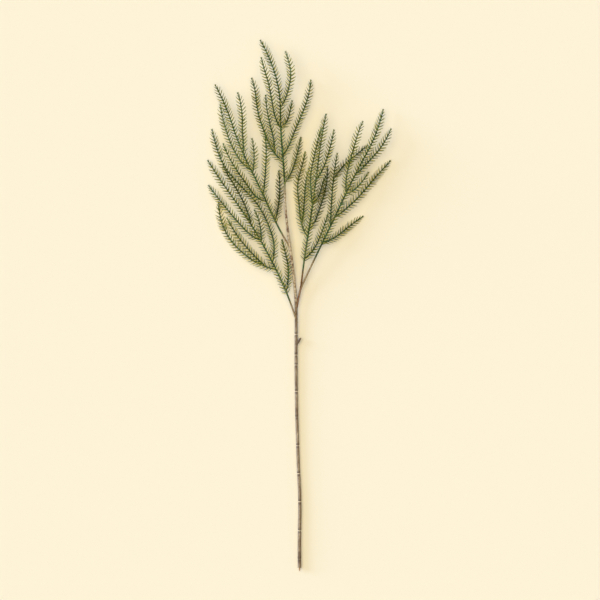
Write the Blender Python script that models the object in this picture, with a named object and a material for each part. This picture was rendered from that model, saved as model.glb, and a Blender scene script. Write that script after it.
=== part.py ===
"""Cut spruce sprig lying flat: a barked main stem, a forked side branch, and five sprays of needled twigs.

Lengths here are millimetres, and headings are degrees clockwise from +Y, the way the tips point. The sprig
is laid out from its cut end, and then moved as a whole to put the origin at the bottom centre of its box.
"""

import itertools
import math

import bmesh
import bpy
import numpy as np
from mathutils import Vector
from mathutils.bvhtree import BVHTree

MM = 0.001
GAP = 0.3  # between pieces that meet or cross

# Main stem. The values in a row are evenly spaced from the cut end to the top.
STEM_LENGTH = 576
STEM_HEADINGS = (0, 1, 0, -2, -2, -1, 0, 0, -2, -6, -8, -6, -1)
STEM_RADII = (2.9, 2.6, 2.5, 2.5, 2.3, 1.7)
STEM_LIFT = (0, 0, 0, 0.6, 3.5, 8)  # of its underside above the surface
STEM_SIDES = 8
STEM_STEP = 24
BARK_RINGS = (14, 57, 100, 143, 185, 227, 265, 320, 351)
RING_WIDTH = 3
RING_GROOVE = 0.84
RING_LIP = 1.08
SHOOT_AT = 337  # broken side shoot
SHOOT_LEAN = (0.8, 0.6, 0.3)  # forwards, to the right and up
SHOOT_LENGTH = 8
SHOOT_RADII = (1.3, 0.8)
CORE_LENGTH = 5
CORE_RADII = (1, 0.6)

# Radii of the branches, leaders and twigs, at the base and the tip
BRANCH_RADII = (2, 1.7)
LEADER_RADII = (1.5, 0.85)
TWIG_RADII = (1.3, 0.85)

# Needles and buds
TWIG_BARE = 9  # clear of needles at the fork
BARE_STEP = 12
NEEDLE_PITCH = 5.6
NEEDLE_LENGTH = 10
NEEDLE_ANGLE = 52  # off the twig
NEEDLE_RISE = 0.8
TIP_STRETCH = 16  # over which needles shorten and close in towards the tip
REACHES = (1, 0.75, 0.5, 0.3, 0)  # shares of its length that a needle steps down through, to clear a neighbour
BUD_LENGTH = 4
BUD_RADIUS = 0.2
STUB_LENGTH = 6
STUB_RADII = (0.8, 0.55)

# Forks
COPE_GAP = 0.6  # wider than GAP, as the base's flat face meets a round rod
COPE_STEP = 0.1

LEFT, RIGHT = 0, -1  # where a flank comes in a row of faces from left to right
SMOOTH_ANGLE = math.radians(50)

# colour and roughness
BARK = ((0.27, 0.19, 0.11), 0.85)
CORE = ((0.58, 0.36, 0.17), 0.7)
LEADER_GREEN = ((0.12, 0.15, 0.07), 0.7)
TWIG_GREEN = ((0.11, 0.17, 0.07), 0.6)

# name: where it grows, how far along that, length, headings, heights that the bow and the tip reach
BRANCHES = {
    "right_branch": ("main_stem", 390, 30, (10, 15), (5, 6)),
}
LEADERS = {
    "top_leader": ("main_stem", 576, 221, (-3, -5, 0, -17, -30), (24, 9)),
    "upper_left_leader": ("main_stem", 479, 270, (-32, -24, -27, -18, -28), (24, 10)),
    "lower_left_leader": ("main_stem", 367, 279, (-16, -25, -30, -36, -32), (24, 6)),
    "inner_right_leader": ("right_branch", 30, 263, (6, 9, 8, 7, 12), (26, 12)),
    "outer_right_leader": ("inner_right_leader", 0, 295, (25, 26, 25, 29, 13), (22, 7)),
}
# name: bare stretch at the base, then where its stub of a shoot stands and how that leans
LEADER_BASES = {
    "top_leader": (9, 70, (0.5, 0.8, 0.4)),
    "upper_left_leader": (44, 116, (0.7, 0.6, 0.5)),
    "lower_left_leader": (50, 124, (0.8, 0.5, 0.5)),
    "inner_right_leader": (43, 115, (0.7, 0.6, 0.5)),
    "outer_right_leader": (74, 140, (0.3, 0.9, 0.4)),
}
TWIGS = {
    "top_twig_1": ("top_leader", 1, 74, (38, 14, 12), (4, 2)),
    "top_twig_2": ("top_leader", 33, 137, (-53, -23, -19, -5, -19), (3, 10)),
    "top_twig_3": ("top_twig_2", 20, 87, (6, -16, -11, -1), (10, 12)),
    "top_twig_4": ("top_leader", 41, 123, (32, 21, 24, 17, 4), (12, 5)),
    "top_twig_5": ("top_leader", 83, 110, (-34, -11, -10, -18, -12), (28, 22)),
    "top_twig_6": ("top_leader", 83, 46, (51, 14, 10), (16, 10)),
    "top_twig_7": ("top_leader", 114, 88, (36, 17, 9, -14, -17), (26, 18)),
    "upper_left_twig_1": ("upper_left_leader", 47, 76, (13, 9, -1, -5), (2, 2)),
    "upper_left_twig_2": ("upper_left_leader", 79, 111, (-77, -34, -36, -29, -19), (14, 10)),
    "upper_left_twig_3": ("upper_left_leader", 90, 93, (8, 4, 1, -8), (24, 24)),
    "upper_left_twig_4": ("upper_left_leader", 127, 51, (13, -1, -14), (24, 24)),
    "upper_left_twig_5": ("upper_left_leader", 131, 112, (-59, -32, -21, -15, -8), (10, 5)),
    "upper_left_twig_6": ("upper_left_leader", 158, 92, (2, -5, 1, -9, -18), (26, 22)),
    "lower_left_twig_1": ("lower_left_leader", 50, 79, (15, 1, -15, -14), (3, 2)),
    "lower_left_twig_2": ("lower_left_leader", 86, 144, (-79, -58, -43, -20, -1), (1, 0.8)),
    "lower_left_twig_3": ("lower_left_twig_2", 16, 94, (-48, -40, -26), (8, 7)),
    "lower_left_twig_4": ("lower_left_leader", 99, 226, (18, -16, -28, -45, -41, -19, -12), (6, 4)),
    "lower_left_twig_5": ("lower_left_leader", 133, 49, (2, -11, -29), (24, 26)),
    "lower_left_twig_6": ("lower_left_leader", 135, 115, (-66, -44, -40, -39, -35), (12, 3)),
    "lower_left_twig_7": ("lower_left_leader", 163, 97, (-11, -25, -32, -28), (24, 17)),
    "inner_right_twig_1": ("inner_right_leader", 43, 78, (49, 22, 17), (8, 6)),
    "inner_right_twig_2": ("inner_right_leader", 77, 132, (-35, -5, -7, 17, 11), (1, 0.8)),
    "inner_right_twig_3": ("inner_right_twig_2", 21, 86, (11, 3, 5, 20), (8, 7)),
    "inner_right_twig_4": ("inner_right_leader", 87, 102, (41, 19, 18, 8, -1), (2, 2)),
    "inner_right_twig_5": ("inner_right_leader", 124, 117, (-6, -4, 12, 13, 16), (30, 22)),
    "inner_right_twig_6": ("inner_right_leader", 128, 46, (51, 14, 23), (13, 10)),
    "inner_right_twig_7": ("inner_right_leader", 162, 81, (36, 16, 11), (24, 20)),
    "outer_right_twig_1": ("outer_right_leader", 74, 74, (70, 50, 56), (2, 0.8)),
    "outer_right_twig_2": ("outer_right_leader", 103, 109, (1, 5, 10), (20, 16)),
    "outer_right_twig_3": ("outer_right_twig_2", 69, 74, (29, 49, 52), (5, 3)),
    "outer_right_twig_4": ("outer_right_leader", 117, 120, (55, 48, 40, 41, 43), (5, 2)),
    "outer_right_twig_5": ("outer_right_leader", 156, 48, (73, 41, 32), (14, 10)),
    "outer_right_twig_6": ("outer_right_leader", 158, 110, (-7, 11, 16, 16, 25), (26, 20)),
    "outer_right_twig_7": ("outer_right_leader", 188, 88, (50, 43, 42, 30, 24), (16, 10)),
}


def spread(values, shares):
    """The values, evenly spaced from 0 to 1, read at these shares of the way."""
    return np.interp(np.asarray(shares) * (len(values) - 1), range(len(values)), values)


class Route:
    """A centreline: the heading turns evenly from each value to the next, and the height bows on to the tip."""

    def __init__(self, start, length, headings, heights, radii):
        steps = int(length)
        bow, tip = heights
        turns = np.radians(spread(headings, (np.arange(steps) + 0.5) / steps))
        u = np.linspace(0, 1, steps + 1)
        self.length = length
        self.radii = radii
        self.along = u * length
        self.points = np.column_stack((
            start[0] + length / steps * np.concatenate(([0], np.cumsum(np.sin(turns)))),
            start[1] + length / steps * np.concatenate(([0], np.cumsum(np.cos(turns)))),
            start[2] * (1 - u) ** 2 + 2 * bow * u * (1 - u) + tip * u**2,
        ))

    def at(self, distance):
        return Vector([np.interp(distance, self.along, self.points[:, axis]) for axis in range(3)])

    def frame(self, distance):
        """The point there, and unit vectors forwards, to the right and up."""
        forward = (self.at(distance + 1) - self.at(distance - 1)).normalized()
        right = forward.cross(Vector((0, 0, 1))).normalized()
        return self.at(distance), forward, right, right.cross(forward)

    def radius(self, distance):
        return spread(self.radii, np.asarray(distance) / self.length)

    def clearance(self, point):
        """How far outside the rod the point is."""
        return (np.linalg.norm(self.points - np.array(point), axis=1) - self.radius(self.along)).min()


class Twig:
    """A needled twig: a three-sided rod, with a needle drawn out of each flank between two rings."""

    def __init__(self, route, bare, roots):
        foot, forward, _, _ = route.frame(0)
        self.route = route
        self.base = cope(route, roots)
        clear = 1 + max((corner - foot).dot(forward) for corner in self.base)
        bare = max(bare, clear)
        end = route.length - BUD_LENGTH
        plain = 1 + round((bare - clear) / BARE_STEP)
        needled = round((end - bare) / NEEDLE_PITCH)
        self.rings = [0, *np.linspace(clear, bare, plain)[:-1], *np.linspace(bare, end, needled + 1)]
        self.steps = {(ring, side): 0 for ring in range(plain, plain + needled) for side in (LEFT, RIGHT)}

    def needle_tip(self, ring, side):
        distance = (self.rings[ring] + self.rings[ring + 1]) / 2
        foot, forward, right, up = self.route.frame(distance)
        outward = right if side == RIGHT else -right
        opening = 0.5 + 0.5 * min(1, (self.route.length - distance) / TIP_STRETCH)
        angle = math.radians(NEEDLE_ANGLE * opening)
        length = float(NEEDLE_LENGTH * opening * REACHES[self.steps[ring, side]])
        return foot + length * (math.cos(angle) * forward + math.sin(angle) * outward) + NEEDLE_RISE * up

    def mesh(self, grown=0):
        """The mesh, and the needle of each face that has one. It is grown a little to try what it touches."""
        radii = np.array([*self.route.radius(self.rings), BUD_RADIUS]) + grown
        bm, bands = rod(self.route, [*self.rings, self.route.length], radii, 3, self.base)
        needles = {}
        for (ring, side), step in self.steps.items():
            if REACHES[step] > 0:
                poked = bmesh.ops.poke(bm, faces=[bands[ring][side]])
                poked["verts"][0].co = self.needle_tip(ring, side)
                needles.update(dict.fromkeys(poked["faces"], (ring, side)))
        return bm, needles


def ring_corners(route, distance, radius, sides):
    """The corners of a ring around the route, with a flat side at the bottom."""
    centre, _, right, up = route.frame(distance)
    angles = [math.tau * (corner + 0.5) / sides - math.pi / 2 for corner in range(sides)]
    return [centre + float(radius) * (math.cos(angle) * right + math.sin(angle) * up) for angle in angles]


def rod(route, distances, radii, sides, base=None):
    """A closed rod from ring to ring, and the faces of each stretch between two of them, from left to right.

    One face is pushed along the route. The base, where it is given, has corners of its own.
    """
    rings = [ring_corners(route, distance, radius, sides) for distance, radius in zip(distances, radii)]
    if base:
        rings[0] = base
    bm = bmesh.new()
    bmesh.ops.create_circle(bm, cap_ends=True, segments=sides, radius=1)
    end = bm.faces[:][0]
    bands = []
    for number, corners in enumerate(rings):
        if number > 0:
            last = end
            pushed = bmesh.ops.extrude_face_region(bm, geom=[last])["geom"]
            end = next(item for item in pushed if isinstance(item, bmesh.types.BMFace))
            bands.append([face for edge in end.edges for face in edge.link_faces if face != end])
            if number > 1:
                bm.faces.remove(last)
        for vert, corner in zip(end.verts, corners):
            vert.co = corner
    for distance, band in zip(distances[1:], bands):
        right = route.frame(distance)[2]
        band.sort(key=lambda face: face.calc_center_median().dot(right))
    bmesh.ops.recalc_face_normals(bm, faces=bm.faces[:])
    return bm, bands


def cope(route, roots):
    """The corners of a twig's base, each slid along it until it clears the rods that the twig grows from."""
    forward = route.frame(0)[1]
    corners = ring_corners(route, 0, route.radius(0), 3)
    for corner in corners:
        while any(root.clearance(corner) < COPE_GAP for root in roots):
            corner += COPE_STEP * forward
    return corners


def peg(route, distance, lean, length, radii):
    """A peg with its foot on the route, leaning so much forwards, to the right and up."""
    centre, forward, right, up = route.frame(distance)
    turn = Vector((0, 0, 1)).rotation_difference(lean[0] * forward + lean[1] * right + lean[2] * up)
    bm = bmesh.new()
    bmesh.ops.create_cone(bm, cap_ends=True, segments=6, radius1=radii[0], radius2=radii[1], depth=length)
    for corner in bm.verts:
        corner.co = centre + turn @ (corner.co + Vector((0, 0, length / 2)))
    return bm


def stem_mesh(route):
    """The barked stem, with a groove and a lip at each ring. It starts clear of the core's foot."""
    factors = dict.fromkeys(range(STEM_STEP, STEM_LENGTH, STEM_STEP), 1)
    for ring in BARK_RINGS:
        for near in range(ring - 2 * RING_WIDTH, ring + 3 * RING_WIDTH):
            factors.pop(near, None)
        factors |= {ring: RING_GROOVE, ring + RING_WIDTH: RING_LIP}
        factors |= {ring - RING_WIDTH: 1, ring + 2 * RING_WIDTH: 1}
    factors |= {GAP: 1, STEM_LENGTH: 1}
    distances = sorted(factors)
    radii = [factors[distance] * route.radius(distance) for distance in distances]
    return rod(route, distances, radii, STEM_SIDES)[0]


def lay_out():
    """The route of each piece by name, and the routes that each piece grows from."""
    stem = Route((0, 0, 0), STEM_LENGTH, STEM_HEADINGS, (0, 0), STEM_RADII)
    stem.points[:, 2] = spread(STEM_LIFT, stem.along / STEM_LENGTH)
    stem.points[:, 2] += RING_LIP * math.cos(math.pi / STEM_SIDES) * stem.radius(stem.along)
    routes = {"main_stem": stem}
    roots = {"main_stem": []}
    for table, radii in ((BRANCHES, BRANCH_RADII), (LEADERS, LEADER_RADII), (TWIGS, TWIG_RADII)):
        for name, (parent, place, length, headings, heights) in table.items():
            routes[name] = Route(routes[parent].at(place), length, headings, heights, radii)
            roots[name] = [routes[parent], *roots[parent]]
    return routes, roots


def settle_needles(twigs, solids):
    """Steps down the length of each needle that touches another piece, until none does.

    The solids are pairs of a name and a mesh. A stub goes by the name of its leader, which it is part of.
    """
    fixed = [(name, BVHTree.FromBMesh(bm), {}) for name, bm in solids]
    touching = True
    while touching:
        trees = list(fixed)
        for name, twig in twigs.items():
            bm, needles = twig.mesh(GAP / 2)
            bm.faces.index_update()
            owners = {face.index: needle for face, needle in needles.items()}
            trees.append((name, BVHTree.FromBMesh(bm), owners))
            bm.free()
        touching = set()
        for (first, tree, owners), (second, other, others) in itertools.combinations(trees, 2):
            for face, other_face in tree.overlap(other) if first != second else ():
                pair = {(first, owners.get(face)), (second, others.get(other_face))}
                needles = {(name, needle) for name, needle in pair if needle}
                if not needles:
                    raise ValueError(f"{first} and {second} cross at the same height")
                touching |= needles
        for name, needle in touching:
            twigs[name].steps[needle] += 1


def add_piece(name, bm, foot, look, sprig, collection):
    """The mesh, laid out in millimetres, becomes an object in metres with its origin at its foot."""
    bmesh.ops.translate(bm, vec=-foot, verts=bm.verts[:])
    bmesh.ops.scale(bm, vec=(MM, MM, MM), verts=bm.verts[:])
    mesh = bpy.data.meshes.new(name)
    bm.to_mesh(mesh)
    bm.free()
    mesh.shade_smooth()
    mesh.set_sharp_from_angle(angle=SMOOTH_ANGLE)
    colour, roughness = look
    material = bpy.data.materials.new(name)
    material.use_nodes = True
    shader = material.node_tree.nodes["Principled BSDF"]
    shader.inputs["Base Color"].default_value = (*colour, 1)
    shader.inputs["Roughness"].default_value = roughness
    shader.inputs["Metallic"].default_value = 0
    mesh.materials.append(material)
    piece = bpy.data.objects.new(name, mesh)
    piece.location = MM * foot
    piece.parent = sprig
    collection.objects.link(piece)
    return piece


def fuse(piece, shoot):
    """Joins a shoot to its piece by a Boolean union."""
    shoot.hide_render = True
    shoot.display_type = "WIRE"
    union = piece.modifiers.new("shoot", "BOOLEAN")
    union.operation = "UNION"
    union.object = shoot


def rest_on_surface(sprig, pieces):
    """Moves the sprig so that the origin is at the bottom centre of the box around its pieces."""
    points = [vert.co + piece.location for piece in pieces for vert in piece.data.vertices]
    low, high = np.min(points, axis=0), np.max(points, axis=0)
    sprig.location = (-(low[0] + high[0]) / 2, -(low[1] + high[1]) / 2, -low[2])


def main():
    for leftover in list(bpy.data.objects):
        bpy.data.objects.remove(leftover)
    collection = bpy.data.collections.new("spruce_sprig")
    shoot_collection = bpy.data.collections.new("shoots_to_fuse")
    for added in (collection, shoot_collection):
        bpy.context.scene.collection.children.link(added)
    sprig = bpy.data.objects.new("sprig", None)
    collection.objects.link(sprig)

    routes, roots = lay_out()
    stem = routes["main_stem"]
    bare = {"main_stem": stem_mesh(stem)}
    for name in BRANCHES:
        route = routes[name]
        bare[name] = rod(route, (0, route.length), route.radii, 3, cope(route, roots[name]))[0]
    shoots = {"main_stem": peg(stem, SHOOT_AT, SHOOT_LEAN, SHOOT_LENGTH, SHOOT_RADII)}
    for name, (_, place, lean) in LEADER_BASES.items():
        shoots[name] = peg(routes[name], place, lean, STUB_LENGTH, STUB_RADII)
    twigs = {name: Twig(routes[name], LEADER_BASES[name][0], roots[name]) for name in LEADERS}
    twigs |= {name: Twig(routes[name], TWIG_BARE, roots[name]) for name in TWIGS}
    settle_needles(twigs, [*bare.items(), *shoots.items()])

    pieces = {}
    for name, bm in bare.items():
        pieces[name] = add_piece(name, bm, routes[name].at(0), BARK, sprig, collection)
    for name, twig in twigs.items():
        look = LEADER_GREEN if name in LEADERS else TWIG_GREEN
        pieces[name] = add_piece(name, twig.mesh()[0], twig.route.at(0), look, sprig, collection)
    core = peg(stem, 0, (-1, 0, 0), CORE_LENGTH, CORE_RADII)
    pieces["core_tip"] = add_piece("core_tip", core, stem.at(0), CORE, sprig, collection)
    for name, bm in shoots.items():
        shoot = add_piece(f"{name}_shoot", bm, routes[name].at(0), BARK, sprig, shoot_collection)
        fuse(pieces[name], shoot)
    rest_on_surface(sprig, pieces.values())


main()
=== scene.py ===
import math

import bmesh
import bpy
import numpy as np
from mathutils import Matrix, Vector


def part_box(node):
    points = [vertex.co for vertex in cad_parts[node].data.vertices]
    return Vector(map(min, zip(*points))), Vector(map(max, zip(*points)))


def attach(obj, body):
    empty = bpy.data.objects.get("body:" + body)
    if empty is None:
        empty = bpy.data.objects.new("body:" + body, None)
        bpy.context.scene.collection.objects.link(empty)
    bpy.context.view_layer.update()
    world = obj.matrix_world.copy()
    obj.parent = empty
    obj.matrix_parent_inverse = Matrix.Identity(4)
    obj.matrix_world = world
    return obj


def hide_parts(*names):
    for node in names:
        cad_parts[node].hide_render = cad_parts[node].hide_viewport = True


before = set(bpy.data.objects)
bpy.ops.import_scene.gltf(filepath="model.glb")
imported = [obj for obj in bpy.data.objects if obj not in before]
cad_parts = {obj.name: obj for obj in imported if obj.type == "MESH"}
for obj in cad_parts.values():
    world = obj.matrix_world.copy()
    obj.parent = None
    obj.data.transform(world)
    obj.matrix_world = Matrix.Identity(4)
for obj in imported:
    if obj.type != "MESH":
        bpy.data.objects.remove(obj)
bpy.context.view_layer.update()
print("frame loaded,", len(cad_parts), "nodes")

mm = 0.001  # the layout below is in millimetres, the scene in metres

# everything is laid out from the middle of the stem's cut end
coreLow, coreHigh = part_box("core_tip")
cutEnd = Vector(((coreLow.x + coreHigh.x) / 2, coreHigh.y, 0))

# each piece's layout: what it grows from, how far along that, its length, the headings it turns through
# in degrees clockwise from +Y, and the heights that its bow and its tip reach
stemLayout = {
    "length": 576,
    "headings": (0, 1, 0, -2, -2, -1, 0, 0, -2, -6, -8, -6, -1),
    "radii": (2.9, 2.6, 2.5, 2.5, 2.3, 1.7),
    "lift": (0, 0, 0, 0.6, 3.5, 8),  # of its underside above the floor
}
branchLayout = {
    "right_branch": ("main_stem", 390, 30, (10, 15), (5, 6)),
}
leaderLayout = {
    "top_leader": ("main_stem", 576, 221, (-3, -5, 0, -17, -30), (24, 9)),
    "upper_left_leader": ("main_stem", 479, 270, (-32, -24, -27, -18, -28), (24, 10)),
    "lower_left_leader": ("main_stem", 367, 279, (-16, -25, -30, -36, -32), (24, 6)),
    "inner_right_leader": ("right_branch", 30, 263, (6, 9, 8, 7, 12), (26, 12)),
    "outer_right_leader": ("inner_right_leader", 0, 295, (25, 26, 25, 29, 13), (22, 7)),
}
twigLayout = {
    "top_twig_1": ("top_leader", 1, 74, (38, 14, 12), (4, 2)),
    "top_twig_2": ("top_leader", 33, 137, (-53, -23, -19, -5, -19), (3, 10)),
    "top_twig_3": ("top_twig_2", 20, 87, (6, -16, -11, -1), (10, 12)),
    "top_twig_4": ("top_leader", 41, 123, (32, 21, 24, 17, 4), (12, 5)),
    "top_twig_5": ("top_leader", 83, 110, (-34, -11, -10, -18, -12), (28, 22)),
    "top_twig_6": ("top_leader", 83, 46, (51, 14, 10), (16, 10)),
    "top_twig_7": ("top_leader", 114, 88, (36, 17, 9, -14, -17), (26, 18)),
    "upper_left_twig_1": ("upper_left_leader", 47, 76, (13, 9, -1, -5), (2, 2)),
    "upper_left_twig_2": ("upper_left_leader", 79, 111, (-77, -34, -36, -29, -19), (14, 10)),
    "upper_left_twig_3": ("upper_left_leader", 90, 93, (8, 4, 1, -8), (24, 24)),
    "upper_left_twig_4": ("upper_left_leader", 127, 51, (13, -1, -14), (24, 24)),
    "upper_left_twig_5": ("upper_left_leader", 131, 112, (-59, -32, -21, -15, -8), (10, 5)),
    "upper_left_twig_6": ("upper_left_leader", 158, 92, (2, -5, 1, -9, -18), (26, 22)),
    "lower_left_twig_1": ("lower_left_leader", 50, 79, (15, 1, -15, -14), (3, 2)),
    "lower_left_twig_2": ("lower_left_leader", 86, 144, (-79, -58, -43, -20, -1), (1, 0.8)),
    "lower_left_twig_3": ("lower_left_twig_2", 16, 94, (-48, -40, -26), (8, 7)),
    "lower_left_twig_4": ("lower_left_leader", 99, 226, (18, -16, -28, -45, -41, -19, -12), (6, 4)),
    "lower_left_twig_5": ("lower_left_leader", 133, 49, (2, -11, -29), (24, 26)),
    "lower_left_twig_6": ("lower_left_leader", 135, 115, (-66, -44, -40, -39, -35), (12, 3)),
    "lower_left_twig_7": ("lower_left_leader", 163, 97, (-11, -25, -32, -28), (24, 17)),
    "inner_right_twig_1": ("inner_right_leader", 43, 78, (49, 22, 17), (8, 6)),
    "inner_right_twig_2": ("inner_right_leader", 77, 132, (-35, -5, -7, 17, 11), (1, 0.8)),
    "inner_right_twig_3": ("inner_right_twig_2", 21, 86, (11, 3, 5, 20), (8, 7)),
    "inner_right_twig_4": ("inner_right_leader", 87, 102, (41, 19, 18, 8, -1), (2, 2)),
    "inner_right_twig_5": ("inner_right_leader", 124, 117, (-6, -4, 12, 13, 16), (30, 22)),
    "inner_right_twig_6": ("inner_right_leader", 128, 46, (51, 14, 23), (13, 10)),
    "inner_right_twig_7": ("inner_right_leader", 162, 81, (36, 16, 11), (24, 20)),
    "outer_right_twig_1": ("outer_right_leader", 74, 74, (70, 50, 56), (2, 0.8)),
    "outer_right_twig_2": ("outer_right_leader", 103, 109, (1, 5, 10), (20, 16)),
    "outer_right_twig_3": ("outer_right_twig_2", 69, 74, (29, 49, 52), (5, 3)),
    "outer_right_twig_4": ("outer_right_leader", 117, 120, (55, 48, 40, 41, 43), (5, 2)),
    "outer_right_twig_5": ("outer_right_leader", 156, 48, (73, 41, 32), (14, 10)),
    "outer_right_twig_6": ("outer_right_leader", 158, 110, (-7, 11, 16, 16, 25), (26, 20)),
    "outer_right_twig_7": ("outer_right_leader", 188, 88, (50, 43, 42, 30, 24), (16, 10)),
}


def spread(values, shares):  # evenly spaced values, read at these shares of the way
    return np.interp(np.asarray(shares) * (len(values) - 1), range(len(values)), values)


class Route:
    # a centreline in steps of a millimetre, which turns evenly from each heading to the next
    def __init__(self, start, length, headings, heights):
        steps = int(length)
        stride = length / steps
        turns = np.radians(spread(headings, (np.arange(steps) + 0.5) / steps))
        u = np.linspace(0, 1, steps + 1)
        bow, tip = heights
        self.length = length
        self.along = u * length
        self.points = np.column_stack((
            start[0] + stride * np.concatenate(([0], np.cumsum(np.sin(turns)))),
            start[1] + stride * np.concatenate(([0], np.cumsum(np.cos(turns)))),
            start[2] * (1 - u) ** 2 + 2 * bow * u * (1 - u) + tip * u**2,
        ))

    def at(self, distance):
        return Vector([np.interp(distance, self.along, self.points[:, axis]) for axis in range(3)])

    def forward(self, distance):
        return (self.at(distance + 1) - self.at(distance - 1)).normalized()


stemRoute = Route((0, 0, 0), stemLayout["length"], stemLayout["headings"], (0, 0))
stemShares = stemRoute.along / stemRoute.length
stemRoute.points[:, 2] = spread(stemLayout["lift"], stemShares) + spread(stemLayout["radii"], stemShares)
routes = {"main_stem": stemRoute}
for layout in (branchLayout, leaderLayout, twigLayout):
    for node, (parent, place, length, headings, heights) in layout.items():
        routes[node] = Route(routes[parent].at(place), length, headings, heights)


def pieceName(node):  # top_twig_1 is shown by topTwig1
    first, *rest = node.split("_")
    return first + "".join(word.capitalize() for word in rest)


def inScene(point):  # from the layout to the frame
    return cutEnd + mm * Vector(point)


def drawRoute(route, radii):
    # the route as a curve object, with the radius that a rod along it has at each point
    bpy.ops.object.select_all(action="DESELECT")
    bpy.ops.curve.primitive_nurbs_path_add()
    drawn = bpy.context.object
    drawn.data.splines.clear()
    drawn.data.twist_mode = "Z_UP"
    drawn.data.use_radius = True
    line = drawn.data.splines.new("POLY")
    line.points.add(len(route.points) - 1)
    for knot, point, radius in zip(line.points, route.points, spread(radii, route.along / route.length)):
        knot.co = (*inScene(point), 1)
        knot.radius = radius
    return drawn


def choose(piece, *others):
    bpy.ops.object.select_all(action="DESELECT")
    for each in (piece, *others):
        each.select_set(True)
    bpy.context.view_layer.objects.active = piece


def edit(piece, selectMode="VERT"):
    choose(piece)
    bpy.ops.object.mode_set(mode="EDIT")
    bpy.ops.mesh.select_mode(type=selectMode)


def pick(test):  # in edit mode, selects the vertices whose place passes the test
    shape = bmesh.from_edit_mesh(bpy.context.edit_object.data)
    for vert in shape.verts:
        vert.select = test(vert.co)
    shape.select_mode = {"VERT"}
    shape.select_flush_mode()
    bmesh.update_edit_mesh(bpy.context.edit_object.data)


def pickFace(direction):  # in edit mode, selects the face that looks furthest in this direction
    shape = bmesh.from_edit_mesh(bpy.context.edit_object.data)
    bpy.ops.mesh.select_all(action="DESELECT")
    best = max(shape.faces, key=lambda face: (face.calc_center_median() + face.normal * 1e-4).dot(direction))
    best.select = True
    bmesh.update_edit_mesh(bpy.context.edit_object.data)


def finishEdit():
    bpy.ops.object.mode_set(mode="OBJECT")


def turnTo(piece, foot, direction):
    # a piece made standing at the origin is stood at its foot, leaning in the direction
    piece.rotation_mode = "QUATERNION"
    piece.rotation_quaternion = Vector((0, 0, 1)).rotation_difference(Vector(direction))
    piece.location = foot
    choose(piece)
    bpy.ops.object.transform_apply(location=True, rotation=True, scale=True)


def joinInto(piece, part):
    choose(piece, part)
    bpy.ops.object.join()


def applyModifier(piece, modifier):
    choose(piece)
    bpy.ops.object.modifier_apply(modifier=modifier.name)


def cover(piece, material, smoothBelow):  # one material all over, smooth but for edges above so many degrees
    piece.data.materials.clear()
    piece.data.materials.append(material)
    bpy.ops.object.shade_smooth_by_angle(angle=math.radians(smoothBelow))


def writeValues(piece, name, values):  # one number on each vertex, for a material or a node group to read
    store = piece.data.attributes.get(name) or piece.data.attributes.new(name, "FLOAT", "POINT")
    store.data.foreach_set("value", np.asarray(values, dtype=np.float32))


def readValues(piece, name):
    values = np.empty(len(piece.data.vertices), dtype=np.float32)
    piece.data.attributes[name].data.foreach_get("value", values)
    return values


def takeOver(piece, node):
    choose(piece)
    bpy.ops.object.material_slot_remove_unused()
    piece.name = pieceName(node)
    piece.data.name = piece.name
    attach(piece, "root")
    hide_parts(node)


class Wire:
    # a socket that node sums can be written with: each sum adds a Math node
    def __init__(self, sheet, socket):
        self.sheet = sheet
        self.socket = socket

    def maths(self, operation, *terms):
        sockets = dict(enumerate(terms))
        return self.sheet.node("ShaderNodeMath", {"operation": operation}, sockets)

    def __add__(self, other):
        return self.maths("ADD", self, other)

    def __radd__(self, other):
        return self.maths("ADD", other, self)

    def __sub__(self, other):
        return self.maths("SUBTRACT", self, other)

    def __rsub__(self, other):
        return self.maths("SUBTRACT", other, self)

    def __mul__(self, other):
        return self.maths("MULTIPLY", self, other)

    def __rmul__(self, other):
        return self.maths("MULTIPLY", other, self)

    def __truediv__(self, other):
        return self.maths("DIVIDE", self, other)

    def __rtruediv__(self, other):
        return self.maths("DIVIDE", other, self)

    def __mod__(self, other):
        return self.maths("FLOORED_MODULO", self, other)

    def __neg__(self):
        return self.maths("MULTIPLY", self, -1)

    def most(self, other):
        return self.maths("MAXIMUM", self, other)


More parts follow.
